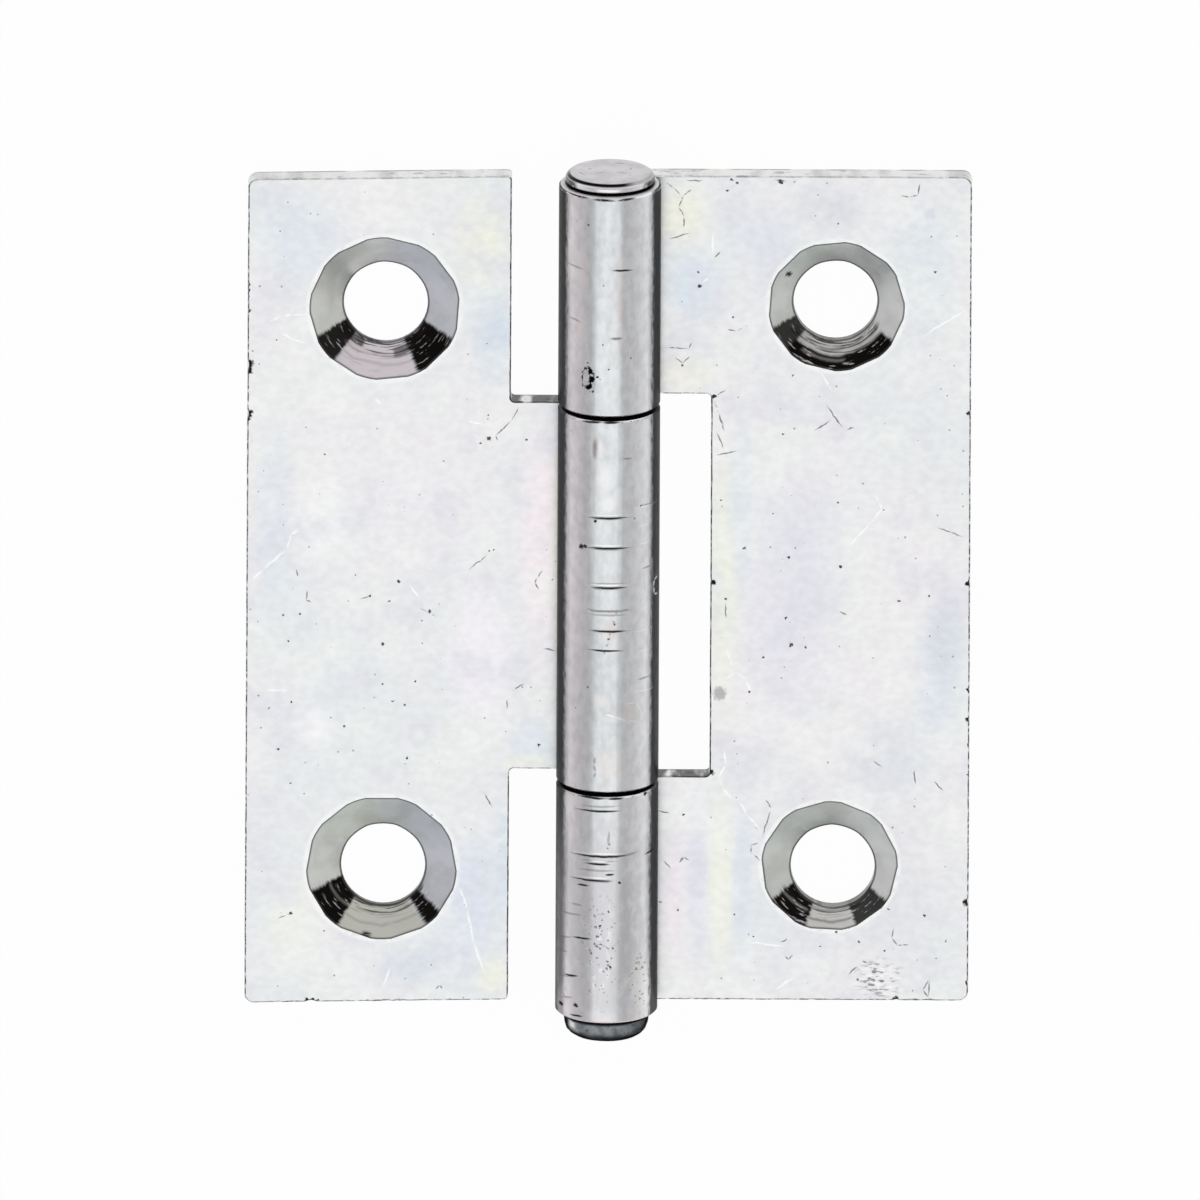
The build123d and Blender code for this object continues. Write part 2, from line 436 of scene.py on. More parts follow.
def sheared_edge(name, nicks):
    """Cut edge of the sheet: smeared bright by the die, with torn streaks, a broken burr line and chips."""
    edge = Finish(name)
    streak = edge.cloud(1.2, 4, stretch=(1, 1, 0.25))
    edge.ground(edge.fade(streak, 0.4, 0.75), (236, 238, 236), (206, 206, 204))
    torn = edge.fade(edge.cloud(2.6, 5, stretch=(0.6, 0.6, 1.4), shift=(4, 1, 2)), 0.58, 0.68)
    edge.lay((120, 120, 118), torn, 0.5)
    head_side = edge.fade(edge.split(edge.place["Normal"])[1], 0.3, 0.7)
    cut_back = edge.times(head_side, edge.fade(edge.math("ABSOLUTE", edge.y), 12.0, 11.0))
    edge.lay((96, 96, 95), cut_back, edge.fade(streak, 0.3, 0.5))
    edge.lay((30, 29, 28), cut_back, torn, 0.8)
    far_line = edge.times(edge.fade(edge.z, 0.36, 0.2), edge.fade(edge.cloud(0.7, 3), 0.4, 0.55))
    edge.lay((112, 112, 111), far_line, head_side, 0.8)
    lip = edge.fade(edge.z, sheet - 0.11, sheet - 0.05)
    dotted = edge.fade(edge.cloud(3.4, 4, shift=(1, 8, 3)), 0.36, 0.56)
    plain = edge.math("MULTIPLY_ADD", head_side, -0.72, 1.0)
    edge.lay((92, 93, 92), lip, dotted, plain)
    chipped = edge.spots(edge.shaken_plan(0.12), [(x, y, radius * 1.25) for x, y, radius in nicks])
    edge.lay((26, 25, 25), chipped, edge.fade(edge.z, sheet - 0.42, sheet - 0.22))
    edge.raise_by(streak, 0.3, 0.05)
    return edge.finished(0.42)


def countersink_cut(name, centre, hole, walls, reflection_and_groove_sectors):
    """Turned wall of a screw seat. On its tail side, wide bright and black wedges are painted reflection,
    and thin rings among them are the tool's grooves.

    A sector is given by its inner and outer radius, its first and last bearing in degrees from the tail
    end of the hinge towards +X, its colour and how much it covers. The walls are the colours on the -X side
    and on the +X side.
    """
    seat = Finish(name)
    away = seat.vector("SUBTRACT", seat.plan, (*centre, 0))
    across, along = seat.split(away)[:2]
    reach = seat.vector("LENGTH", away)
    bearing = seat.math("ARCTAN2", across, seat.times(along, -1))
    turned = seat.join(reach, bearing)
    rings = seat.cloud(1, 4, stretch=(11, 1.3, 0), point=turned)
    dashes = seat.cloud(1, 4, stretch=(9, 3.2, 0), shift=(3, 5, 0), point=turned)
    cloud = seat.cloud(0.9, 3)
    seat.ground(seat.fade(across, -1.5, 1.5), *walls)
    seat.dull((242, 242, 240), seat.fade(cloud, 0.4, 0.65))
    seat.dull((228, 231, 231), seat.fade(along, 0.2, 2.2))
    uneven_reach = seat.math("ADD", reach, seat.math("MULTIPLY_ADD", cloud, 0.3, -0.15))
    uneven_bearing = seat.math("ADD", bearing, seat.math("MULTIPLY_ADD", rings, 0.12, -0.06))
    # Painted reflection: wide bright and black wedges on the tail side, with thin rings for the tool's
    # grooves.
    for inner, outer, first, last, tint, strength in reflection_and_groove_sectors:
        ring = seat.between(uneven_reach, inner, outer, 0.08)
        wedge = seat.between(uneven_bearing, math.radians(first), math.radians(last), 0.04)
        seat.lay(tint, ring, wedge, strength)
    tail_side = seat.fade(seat.math("ABSOLUTE", bearing), 1.15, 0.95)
    near_hole = seat.fade(reach, 2.75, 2.3)
    seat.lay((36, 33, 31), seat.fade(rings, 0.5, 0.58), near_hole, tail_side, 0.85)
    seat.lay((214, 210, 210), seat.fade(dashes, 0.58, 0.66), tail_side, 0.75)
    rim = seat.fade(seat.z, sheet - 0.075, sheet - 0.02)
    lip = seat.fade(seat.vector("DISTANCE", seat.plan, (*hole, 0)), 2.06, 2.0)
    seat.lay((78, 79, 77), seat.most(rim, lip), 0.8)
    seat.raise_by(seat.times(rings, tail_side), 0.2, 0.05)
    return seat.finished(0.24)


def rolled_knuckle(name, dark_lines, faint_lines, light_lines, pits, ring_pits, stains_and_glints, pitted):
    """Zinc on the curl: bright along the top, painted shade on the flanks, with roll marks, stains and a few
    painted glints.
    """
    curl = Finish(name)
    streaks = curl.cloud(1.3, 4, stretch=(1, 0.1, 1))
    curl.ground(curl.fade(streaks, 0.35, 0.65), (230, 233, 235), (218, 222, 224))
    # A pinkish tint on the -X side; the +X side is painted lighter, as painted light across the curl.
    curl.lay((231, 221, 226), curl.fade(curl.x, -0.7, -1.3), 0.6)
    curl.lay((247, 247, 249), curl.fade(curl.x, 0.5, 1.0), 0.8)
    mottle = curl.cloud(3.1, 4, stretch=(1, 0.6, 1), shift=(5, 1, 4))
    curl.dull((240, 239, 239), curl.fade(mottle, 0.35, 0.7))
    top = curl.fade(curl.z, barrel_radius + 0.3, barrel_radius + 0.5)
    # Stains, and on the middle knuckle two painted glints, on the top of the curl.
    for place, tint, strength in stains_and_glints:
        curl.lay(tint, curl.wash(*place), strength, top, curl.fade(mottle, 0.2, 0.55))
    # Painted shade: the flanks are painted dark, nearly black at the outline, and less dark on the -X side
    # of the tail knuckle.
    uneven = curl.math("MULTIPLY_ADD", curl.cloud(6.5, 5, stretch=(1, 0.35, 1)), 0.26, -0.13)
    flank = curl.math("ADD", curl.math("ABSOLUTE", curl.x), uneven)
    eased_shade = curl.times(curl.fade(curl.y, -9, -15), curl.fade(curl.x, 0, -1))
    shaded = curl.fade(flank, barrel_radius * 0.79, barrel_radius * 0.88)
    curl.lay((76, 77, 76), shaded, curl.math("MULTIPLY_ADD", eased_shade, -0.4, 0.95))
    curl.lay((24, 24, 24), curl.fade(flank, barrel_radius * 0.93, barrel_radius), 0.85)
    plan = curl.shaken_plan(0.06)
    curl.lay((146, 141, 142), curl.strokes(plan, faint_lines, 0.075), top, 0.6)
    curl.lay((250, 250, 250), curl.strokes(plan, light_lines, 0.06), top, 0.85)
    dark = curl.spots(curl.shaken_plan(0.18, 9.0), pits)
    dark = curl.times(curl.most(curl.strokes(plan, dark_lines, 0.07), dark), top)
    ring = 0.0
    rough_plan = curl.shaken_plan(0.3, 6.0)
    broken = curl.fade(curl.cloud(5.5, 3, shift=(6, 2, 8)), 0.36, 0.46)
    for across, along, half_width, half_length in ring_pits:
        outside = curl.fade(curl.oval(rough_plan, across, along, half_width, half_length), 1.05, 0.9)
        inside = curl.oval(rough_plan, across - half_width * 0.28, along,
                           half_width * 0.54, half_length * 0.76)
        hollow = curl.most(curl.fade(inside, 0.85, 1.05), curl.math("SUBTRACT", 1.0, broken))
        ring = curl.most(ring, curl.times(outside, hollow, broken, top))
    wandering = curl.vector("ADD", curl.shaken_plan(0.22, 7.0), (0, 0, 1.7))
    for place in pitted:
        worn_through = curl.times(curl.wash(*place), top)
        curl.lay((246, 245, 245), curl.specks(2.7, 0.13, 0.6, wandering), worn_through, 0.55)
        dark = curl.most(dark, curl.times(curl.specks(6.0, 0.08, 0.7, wandering), worn_through, 0.62))
    dark = curl.most(dark, curl.times(curl.specks(1.1, 0.055, 0.4), 0.6))
    curl.lay((30, 28, 28), dark, 0.95)
    curl.lay((14, 13, 13), ring)
    curl.shader.inputs["Specular Tint"].default_value = paint(190, 190, 190)
    curl.raise_by(curl.cloud(1.8, 3, stretch=(1, 0.5, 1)), 0.14, 0.04)
    gloss = curl.math("MULTIPLY_ADD", streaks, 0.12, 0.24)
    return curl.finished(curl.math("MULTIPLY_ADD", dark, 0.3, gloss))


def knuckle_gap():
    """Cut ends and bore of the knuckles, painted nearly black as shade, but for the rim under the pin's
    head.
    """
    bore = Finish("knuckle_gap")
    uneven_tone = bore.cloud(2.5, 4)
    # Painted shade: the ends between knuckles and the bore are near black.
    bore.ground(uneven_tone, (20, 18, 18), (44, 42, 41))
    section = bore.vector("MULTIPLY", bore.point, (1, 0, 1))
    reach = bore.vector("DISTANCE", section, (0, 0, barrel_radius))
    rim = bore.times(bore.fade(reach, 2.05, 2.15), bore.fade(bore.y, 19.8, 20.1))
    bare = bore.mix(uneven_tone, paint(226, 226, 226), paint(188, 186, 186))
    bore.colour = bore.mix(rim, bore.colour, bare)
    return bore.finished(0.5)


def dress(leaf, side, face_marks, nicks, walls, seats, knuckle, knuckle_marks):
    """Give a leaf its finishes, in the order of the slots that its faces were sorted into."""
    finishes = [plated_face(f"plated_{side}_face", band, *face_marks) for band in face_bands]
    finishes.append(sheared_edge(f"{side}_sheared_edge", nicks))
    for end, (sink, hole, reflection_and_groove_sectors) in zip(("head", "tail"), seats):
        finishes.append(countersink_cut(f"{side}_{end}_countersink", sink, hole, walls, reflection_and_groove_sectors))
    finishes.append(rolled_knuckle(knuckle, *knuckle_marks))
    finishes.append(bpy.data.materials.get("knuckle_gap") or knuckle_gap())
    for finish in finishes:
        leaf.data.materials.append(finish)


right_roll_marks = ((-9.7, -1.5, 0.7, 0.02), (-11.92, -1.7, 1.1, 0.045), (-12.3, -1.1, 0.2, 0.03),
                    (-13.12, -1.7, 0.3, 0.04), (13.41, -0.1, 0.75, 0.03))
right_dents = ((-1.03, 11.42, 0.24, 0.42, 0.06),)
right_nicks = ((16.8, 8.67, 0.14), (16.8, 0.38, 0.18), (16.8, -4.85, 0.16), (16.8, -6.32, 0.14),
               (16.8, -7.54, 0.12), (16.8, -15.22, 0.22), (16.8, -19.18, 0.16), (13.45, -20.07, 0.16),
               (4.73, 0.37, 0.16))
right_leaf = formed_leaf("leaf_two_knuckles", "right_leaf", right_sinks, right_roll_marks, right_dents,
                         right_nicks)

right_washes = (
    ((240, 240, 229), (3.3, 18.3, 1.9, 2.2), 0.9), ((218, 228, 238), (3.9, 14.9, 2.0, 2.4), 0.8),
    ((240, 240, 230), (3.6, 10.6, 2.0, 1.2), 0.8), ((222, 226, 236), (7.3, 17.2, 2.2, 2.4), 0.6),
    ((222, 230, 236), (14.6, 16.0, 2.4, 4.5), 0.6), ((238, 241, 230), (5.35, 0.5, 1.05, 8.6), 0.9),
    ((219, 228, 236), (6.2, 4.5, 0.8, 6.0), 0.6), ((226, 225, 236), (8.6, 0.0, 3.2, 8.5), 0.6),
    ((218, 224, 236), (15.2, -4.5, 1.6, 4.5), 0.6), ((243, 234, 240), (3.2, -14.5, 0.8, 4.6), 0.7),
    ((224, 224, 238), (4.2, -14.0, 0.7, 5.5), 0.7), ((240, 242, 230), (5.3, -14.6, 0.9, 5.8), 0.9),
    ((220, 228, 238), (6.3, -14.2, 0.7, 5.5), 0.7), ((216, 219, 225), (10.2, 18.5, 2.2, 1.5), 0.7),
    ((218, 222, 229), (13.0, -8.2, 3.2, 3.2), 0.6), ((214, 219, 228), (15.7, -2.2, 1.4, 3.2), 0.7),
    ((221, 223, 229), (11.0, -14.5, 6.5, 7.5), 0.5),
)
right_scratches = (
    ((4.29, 14.96), (4.6, 15.29)), ((4.77, 17.49), (4.77, 16.37)), ((14.59, 12.47), (16.62, 13.79)),
    ((9.8, 10.67), (10.34, 9.74)), ((12.72, 4.02), (12.19, 3.31), (11.14, 2.14)),
    ((12.36, 4.66), (12.73, 3.93)),
    ((5.41, -7.83), (5.5, -8.57), (5.19, -9.13), (5.28, -9.6), (5.78, -10.25)),
    ((6.13, -10.35), (6.49, -11), (7.12, -11.74)), ((6.56, -17.22), (8.38, -17.49)),
    ((5.5, -2.99), (5.84, -3.86)), ((5.42, -4.39), (5.92, -4.03), (6.42, -4.38), (6.67, -5.17)),
    ((7.78, -19.57), (8.76, -18.93)),
)
right_hairlines = (
    ((2.4, -20.02), (7.2, -20.0)), ((7.0, -20.01), (12.0, -20.0)), ((11.8, -20.0), (16.4, -20.01)),
    ((5.0, 9.5), (5.4, 9.75)), ((5.1, 8.6), (5.3, 8.0)), ((5.0, 7.7), (5.35, 6.9)),
    ((2.6, 19.9), (3.3, 19.3)), ((3.5, 20.0), (4.3, 20.0)), ((7.6, 20.05), (8.2, 20.0)),
    ((13.5, 19.3), (13.9, 19.2)), ((3.71, 17.44), (2.69, 17.11)),
    ((3.78, 19.56), (3.39, 19.26), (3.21, 18.7), (3.43, 18.23), (3.44, 17.72)),
    ((5.5, 12.72), (5.86, 12.65), (6.17, 12.8)), ((2.58, 11.82), (3.69, 11.78), (3.82, 12.06)),
    ((3.07, 11.31), (3.42, 11.07), (3.73, 11.4)), ((4.82, 16.23), (5.17, 16.51)),
    ((13.85, 19.2), (14.29, 19.34), (14.38, 19.95)), ((10.08, 9.06), (10.93, 7.8), (11.37, 7.99)),
    ((9.51, 7.76), (10.3, 8.31)), ((4.99, 6.55), (5.96, 6.79)), ((4.89, 9.22), (5.38, 7.63)),
    ((15.22, 3.1), (16.46, 2.63)), ((5.46, -0.65), (5.47, -1.44)), ((10.71, -1.05), (11.11, -1.23)),
    ((7.37, -10.25), (7.6, -10.71), (7.21, -12.12)),
    ((7.17, -13.29), (6.68, -12.87), (6.68, -12.49), (7.03, -12.4)),
    ((14.96, -19), (14.7, -19.56), (14.96, -19.89), (15, -19)), ((2.65, -13.29), (2.98, -13.63)),
    ((3.35, -13.38), (3.58, -13.09), (3.81, -13.23)), ((2.31, -10.84), (2.92, -10.94)),
    ((11.22, -18.82), (11.68, -18.38)), ((11.86, -18.13), (12.14, -18.23)), ((14.24, -8.75), (14.3, -9.5)),
    ((12.25, -8.25), (12.75, -8.65)), ((15.15, -9.3), (15.6, -9.8)),
    ((8.3, -17.9), (8.45, -18.1), (8.65, -17.85)),
    ((13.3, -16.5), (13.25, -17.0), (13.5, -17.35), (14.05, -17.3)), ((8.1, -17.25), (8.4, -17.05)),
)
right_pits = (
    (4.16, 14.82, 0.12), (4.1, 15.52, 0.06), (5.9, 19.9, 0.07), (7.95, 19.9, 0.1), (5.45, 19.49, 0.08),
    (5.18, 4.39, 0.07), (7.62, 3.72, 0.06), (6.3, 2.02, 0.09), (8.38, 1.58, 0.06), (10.77, 1.14, 0.08),
    (8.27, -1.37, 0.07), (9.16, -2.8, 0.08), (8.5, -2.68, 0.12), (13.5, -0.52, 0.07), (14.9, -0.25, 0.06),
    (14.95, -2.24, 0.06), (7.21, -3.31, 0.07), (8.09, 7.6, 0.06), (5.46, -0.46, 0.07), (6.58, -4.99, 0.08),
    (10.6, 17.93, 0.06), (8.53, 10.49, 0.06), (3.55, -11.03, 0.07), (3.31, -15.68, 0.07),
    (2.52, -15.29, 0.06), (15.09, 15.58, 0.07), (11.72, -17.18, 0.08), (6.81, -16.96, 0.07),
    (14.74, -15.89, 0.07), (15.75, -17.15, 0.07), (9.9, -17.42, 0.06), (13.05, -15.6, 0.06),
    (12.9, -17.6, 0.06),
)
right_patches = (
    ((4.78, -5.2), 0.3, (250, 250, 250), 1.0), ((5.18, -5.09), 0.42, (178, 178, 178), 0.9),
    ((16.7, 8.67), 0.15, (30, 30, 30), 1.0), ((16.72, 0.38), 0.17, (26, 26, 26), 1.0),
    ((16.74, -4.85), 0.12, (40, 40, 40), 1.0), ((16.74, -6.32), 0.12, (40, 40, 40), 1.0),
    ((16.7, -15.22), 0.24, (22, 22, 22), 1.0), ((16.72, -19.18), 0.14, (36, 36, 36), 1.0),
    ((13.45, -19.98), 0.17, (36, 34, 32), 1.0), ((4.85, 0.37), 0.14, (30, 30, 30), 1.0),
    ((4.86, 9.45), 0.14, (50, 50, 50), 1.0), ((4.85, -8.96), 0.15, (24, 24, 24), 1.0),
    ((5.6, 20.05), 0.1, (60, 60, 60), 0.9), ((7.9, 20.0), 0.14, (46, 46, 46), 1.0),
    ((14.86, 18.4), 0.34, (213, 218, 227), 0.7),
)
right_scuffs = ((12.65, -19.0, 1.5, 1.3),)
right_seat_radius = 3.175
right_face_marks = (right_washes, right_scratches, right_hairlines, right_pits, right_patches, right_scuffs,
                    [(*sink, right_seat_radius) for sink in right_sinks])
right_walls = ((232, 235, 231), (242, 243, 243))
# Painted reflection in the right seats: wide bright and black wedges, with thin rings for the tool's
# grooves.
right_head_reflections_and_grooves = (
    (1.8, 3.5, -70, -44, (30, 27, 26), 0.95), (1.8, 2.7, -46, 50, (204, 201, 198), 0.95),
    (2.24, 2.3, -40, 46, (40, 37, 35), 0.9), (2.52, 3.5, -48, 57, (22, 20, 19), 1.0),
    (2.66, 2.76, -36, 8, (150, 147, 144), 0.7), (2.48, 2.74, -126, -121, (28, 28, 28), 1.0),
)
right_tail_reflections_and_grooves = (
    (1.5, 3.5, -58, -20, (26, 24, 23), 1.0), (1.5, 3.5, -20, 22, (212, 209, 206), 0.7),
    (1.5, 3.5, 23, 57, (30, 28, 27), 0.95), (2.72, 2.8, -20, 22, (96, 92, 90), 0.8),
    (2.26, 2.32, -22, 24, (84, 81, 79), 0.8), (2.48, 2.56, -62, -24, (196, 194, 192), 0.5),
)
right_seats = zip(right_sinks, right_holes, (right_head_reflections_and_grooves, right_tail_reflections_and_grooves))
right_dark_lines = (
    ((-1.5, -9.72), (0.7, -9.7)), ((-1.7, -11.94), (1.1, -11.92)), ((-1.1, -12.3), (0.2, -12.3)),
    ((-0.1, -12.8), (0.35, -12.78)), ((-1.7, -13.12), (0.3, -13.12)), ((-1.4, -13.4), (-0.8, -13.38)),
    # The line at y 20.2, along the knuckle's rim under the pin's head, is painted shade.
    ((-1.4, -9.05), (0.0, -9.1), (0.8, -9.09)), ((-2.1, 20.24), (-0.9, 20.18), (0.3, 20.15), (1.2, 20.2)),
    ((-1.61, -16.02), (-0.68, -15.98)), ((-1.96, -17.98), (-1.29, -17.89)), ((1.75, -12.05), (2.2, -11.95)),
    ((-1.7, -19.86), (-1.06, -19.81)), ((0.1, 16.75), (1.1, 16.7)),
)
right_faint_lines = (
    ((0.0, 13.41), (0.7, 13.41)), ((-1.3, -12.15), (0.6, -12.15)), ((-1.4, -12.62), (0.5, -12.6)),
    ((0.4, -11.95), (1.5, -11.8)), ((-1.9, 14.2), (-1.3, 14.1)), ((-2.0, 16.8), (-1.2, 16.7)),
    ((-2.18, -14.98), (-1.11, -14.87)), ((-1.7, -14.4), (-1.1, -14.4)), ((-2.31, -16.92), (-1.79, -16.85)),
    ((0.1, -10.6), (0.05, -11.4)), ((-1.2, -9.5), (0.6, -9.45)), ((-2.26, -16.27), (-1.6, -16.05)),
    ((-2.31, -18.17), (-1.5, -17.94)), ((-2.31, -19.25), (-1.54, -18.97)),
    ((-2.09, -18.89), (-1.84, -19.17)),
)
right_light_lines = (
    ((-1.4, -11.8), (0.9, -11.8)), ((-1.4, -12.98), (0.2, -12.98)), ((-0.9, -12.16), (0.1, -12.16)),
)
right_knuckle_pits = (
    (-0.55, 11.5, 0.07), (-0.42, 11.42, 0.05), (-0.75, 10.8, 0.06), (-0.9, 10.75, 0.05), (-1.0, 12.15, 0.06),
    (-1.42, -19.34, 0.14), (-2.1, -19.5, 0.12), (0.1, -14.6, 0.06), (-0.3, -15.3, 0.07), (0.3, -16.4, 0.06),
    (0.2, -17.3, 0.07), (0.6, -13.2, 0.09), (-0.05, 11.9, 0.05), (-0.3, 13.1, 0.05), (1.0, 12.4, 0.05),
    (0.1, -11.3, 0.06), (0.05, -11.5, 0.05), (-1.0, 18.9, 0.06), (-0.3, 16.0, 0.05), (1.75, -9.1, 0.1),
    (1.25, -9.0, 0.08),
)
right_ring_pits = ((-1.0, 11.42, 0.3, 0.55),)
right_stains = (
    ((0.45, 15.5, 0.2, 4.2), (236, 212, 214), 0.4), ((-1.3, 16.4, 0.25, 1.6), (240, 226, 226), 0.7),
    ((-0.2, -15.5, 3.0, 7.0), (214, 212, 216), 0.9), ((-1.35, 14.0, 0.2, 1.2), (240, 226, 226), 0.7),
    ((1.5, -18.0, 0.5, 2.2), (240, 238, 236), 0.8), ((0.1, -20.0, 2.0, 0.5), (238, 226, 226), 0.8),
)
right_pitted = ((-0.3, -16.6, 1.3, 3.6), (1.5, -18.2, 0.6, 2.0))
right_knuckle_marks = (right_dark_lines, right_faint_lines, right_light_lines, right_knuckle_pits,
                       right_ring_pits, right_stains, right_pitted)
dress(right_leaf, "right", right_face_marks, right_nicks, right_walls, right_seats, "end_knuckles",
      right_knuckle_marks)
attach(right_leaf, "fixed_leaf")
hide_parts("leaf_two_knuckles")

# Leaf with one knuckle
# The left-hand leaf is blanked from the same sheet with a single wide tongue, which is curled into the
# middle knuckle and turns on the pin. It is plated and countersunk like the other, with wider seats.
left_sinks = ((-10.43, 13.65), (-10.46, -13.69))
left_holes = ((-10.38, 13.67), (-10.38, -13.83))
left_roll_marks = ((4.62, -1.1, 1.1, 0.04), (3.14, -1.1, 1.1, 0.045), (1.21, -0.95, 1.0, 0.045),
                   (0.07, -1.0, 1.1, 0.025), (-0.9, -0.95, 1.0, 0.03))
left_dents = ((-0.65, 8.19, 0.3, 0.75, 0.02), (2.2, 1.1, 0.2, 0.3, 0.05))
left_nicks = ((-16.8, 14.78, 0.1), (-16.8, 14.49, 0.1), (-16.8, 14.19, 0.1), (-16.8, 13.51, 0.14),
              (-16.8, 10.82, 0.3), (-16.8, 8.42, 0.26), (-13.7, -20.28, 0.26))
left_leaf = formed_leaf("leaf_one_knuckle", "left_leaf", left_sinks, left_roll_marks, left_dents, left_nicks)

left_washes = (
    ((240, 241, 230), (-5.9, 17.0, 1.9, 3.0), 0.9), ((212, 223, 233), (-5.2, 12.2, 1.7, 3.2), 0.8),
    ((220, 230, 238), (-14.2, 17.0, 2.8, 3.0), 0.6), ((247, 238, 242), (-3.0, 2.5, 1.7, 8.0), 0.9),
    ((242, 241, 230), (-2.3, 2.0, 0.5, 6.5), 0.8), ((236, 234, 240), (-9.0, 4.0, 5.0, 6.0), 0.5),
    ((222, 230, 237), (-3.4, -7.4, 1.7, 1.6), 0.7), ((240, 241, 230), (-3.8, -8.6, 1.6, 0.7), 0.8),
    ((219, 224, 238), (-6.4, -15.0, 1.8, 4.5), 0.7), ((240, 241, 230), (-5.2, -19.0, 1.2, 1.4), 0.9),
    ((218, 229, 237), (-4.9, -13.5, 0.6, 4.5), 0.7), ((247, 246, 248), (-13.7, -6.9, 1.5, 1.4), 0.9),
    ((240, 242, 236), (-14.6, -16.5, 2.0, 3.6), 0.7), ((221, 229, 236), (-15.6, 3.5, 1.2, 7.0), 0.6),
    ((246, 241, 247), (-5.9, -3.0, 2.2, 5.0), 0.8), ((244, 244, 245), (-13.3, 3.4, 1.7, 3.4), 0.8),
    ((214, 220, 230), (-8.2, -18.6, 3.0, 1.8), 0.7),
)
left_scratches = (
    ((-16.58, 0.27), (-16, 0.88), (-14.94, 1.86), (-14.72, 2.57), (-14.41, 2.8)),
    ((-15.79, 12.97), (-15.31, 13.25), (-13.97, 13.4)), ((-15.17, 12.41), (-14.68, 12.13), (-14.06, 11.95)),
    ((-15.88, -5.01), (-14.77, -5.05)), ((-6.83, -14.64), (-6.47, -15.67), (-6.15, -17.35), (-5.65, -18.85)),
    ((-10.01, -18.5), (-10.36, -19.53)), ((-6.67, 8.22), (-5.78, 7.99)), ((-9.16, 0.11), (-8.76, -0.49)),
    ((-10.85, 9.28), (-10.58, 8.95)),
)
left_hairlines = (
    ((-16.4, -20.27), (-12.4, -20.2)), ((-12.6, -20.2), (-8.4, -20.13)), ((-8.6, -20.13), (-4.7, -20.06)),
    ((-4.19, 8.89), (-4.54, 8.19), (-5.25, 7.48), (-5.16, 7.2)), ((-6.46, 0.93), (-5.62, 1.63)),
    ((-3.05, 0.91), (-3.34, 0.48), (-3.38, 0.3), (-3.22, -0.05)), ((-5.7, -10.01), (-5.34, -10.71)),
    ((-7.91, -19.61), (-7.74, -19.42), (-7.6, -19.59)), ((-4.48, -5), (-3.86, -4.62)),
    ((-4.65, -5.4), (-4.68, -5.89)), ((-2.99, -2.9), (-2.41, -3.03)), ((-11.51, -0.55), (-11.02, -0.39)),
    ((-8.76, -0.96), (-8, -1.38)), ((-13.95, -0.14), (-14, -0.61), (-13.77, -0.72)),
    ((-14.45, 0.88), (-14.4, 0.53)), ((-15.26, -16.19), (-14.55, -15.9)),
)
left_pits = (
    (-5.57, 7.33, 0.11), (-5.95, 7.12, 0.06), (-3.82, 7.28, 0.07), (-5.6, 8.48, 0.06), (-9.72, 0.33, 0.1),
    (-10.15, -0.65, 0.08), (-8.27, -1.14, 0.09), (-10.46, -2.74, 0.09), (-5.33, 1.89, 0.06),
    (-14.65, -15.94, 0.09), (-11.05, -0.4, 0.07), (-14.82, -2.62, 0.06), (-8.94, -4.55, 0.06),
    (-9.97, -5.53, 0.06), (-14.69, -5.6, 0.06), (-15.71, -5.9, 0.06), (-9.3, -8.31, 0.07),
    (-14.68, -9.56, 0.06), (-15.29, -7.9, 0.07), (-3.18, -7.65, 0.07), (-9.93, -11.35, 0.06),
)
left_patches = (
    ((-16.72, 10.95), 0.26, (20, 20, 20), 1.0), ((-16.72, 10.62), 0.22, (20, 20, 20), 1.0),
    ((-16.74, 8.5), 0.24, (20, 20, 20), 1.0), ((-16.76, 8.25), 0.16, (20, 20, 20), 1.0),
    ((-16.74, 13.51), 0.14, (36, 36, 36), 1.0), ((-16.76, 14.49), 0.1, (46, 46, 46), 1.0),
    ((-16.76, 14.78), 0.09, (46, 46, 46), 1.0), ((-13.9, -20.18), 0.15, (26, 26, 26), 1.0),
    ((-13.6, -20.2), 0.13, (26, 26, 26), 1.0), ((-13.4, -20.22), 0.1, (26, 26, 26), 1.0),
)
left_seat_radius = 3.5
left_face_marks = (left_washes, left_scratches, left_hairlines, left_pits, left_patches, (),
                   [(*sink, left_seat_radius) for sink in left_sinks])
# The -X wall is painted lighter than the +X wall, as painted light, over their yellowish and lavender tints.
left_walls = ((246, 248, 243), (222, 224, 232))
# Painted reflection in the left seats: wide bright and black wedges, with thin rings for the tool's grooves.
left_head_reflections_and_grooves = (
    (1.8, 3.8, -66, -42, (44, 41, 40), 1.0), (1.8, 3.8, -42, 26, (232, 222, 228), 0.9),
    (1.8, 3.8, 27, 65, (24, 21, 20), 1.0), (2.84, 2.9, -42, 26, (160, 152, 156), 0.6),
    (2.0, 2.36, -64, -26, (30, 28, 27), 0.8), (2.2, 2.6, 10, 30, (40, 37, 36), 0.7),
    (2.5, 2.56, -46, 20, (140, 132, 136), 0.6),
)
left_tail_reflections_and_grooves = (
    (1.7, 3.8, -70, -35, (26, 23, 22), 1.0), (1.7, 3.8, -35, 36, (206, 205, 194), 0.85),
    (1.7, 2.2, -38, 46, (52, 49, 46), 0.75), (2.0, 3.8, 37, 52, (28, 25, 24), 1.0),
    (3.24, 3.8, -16, -9, (20, 18, 17), 1.0), (2.86, 2.92, -35, 36, (140, 138, 126), 0.6),
    (2.52, 2.6, -68, -36, (176, 174, 168), 0.6), (2.4, 2.46, -30, 34, (120, 117, 108), 0.6),
)
left_seats = zip(left_sinks, left_holes, (left_head_reflections_and_grooves, left_tail_reflections_and_grooves))
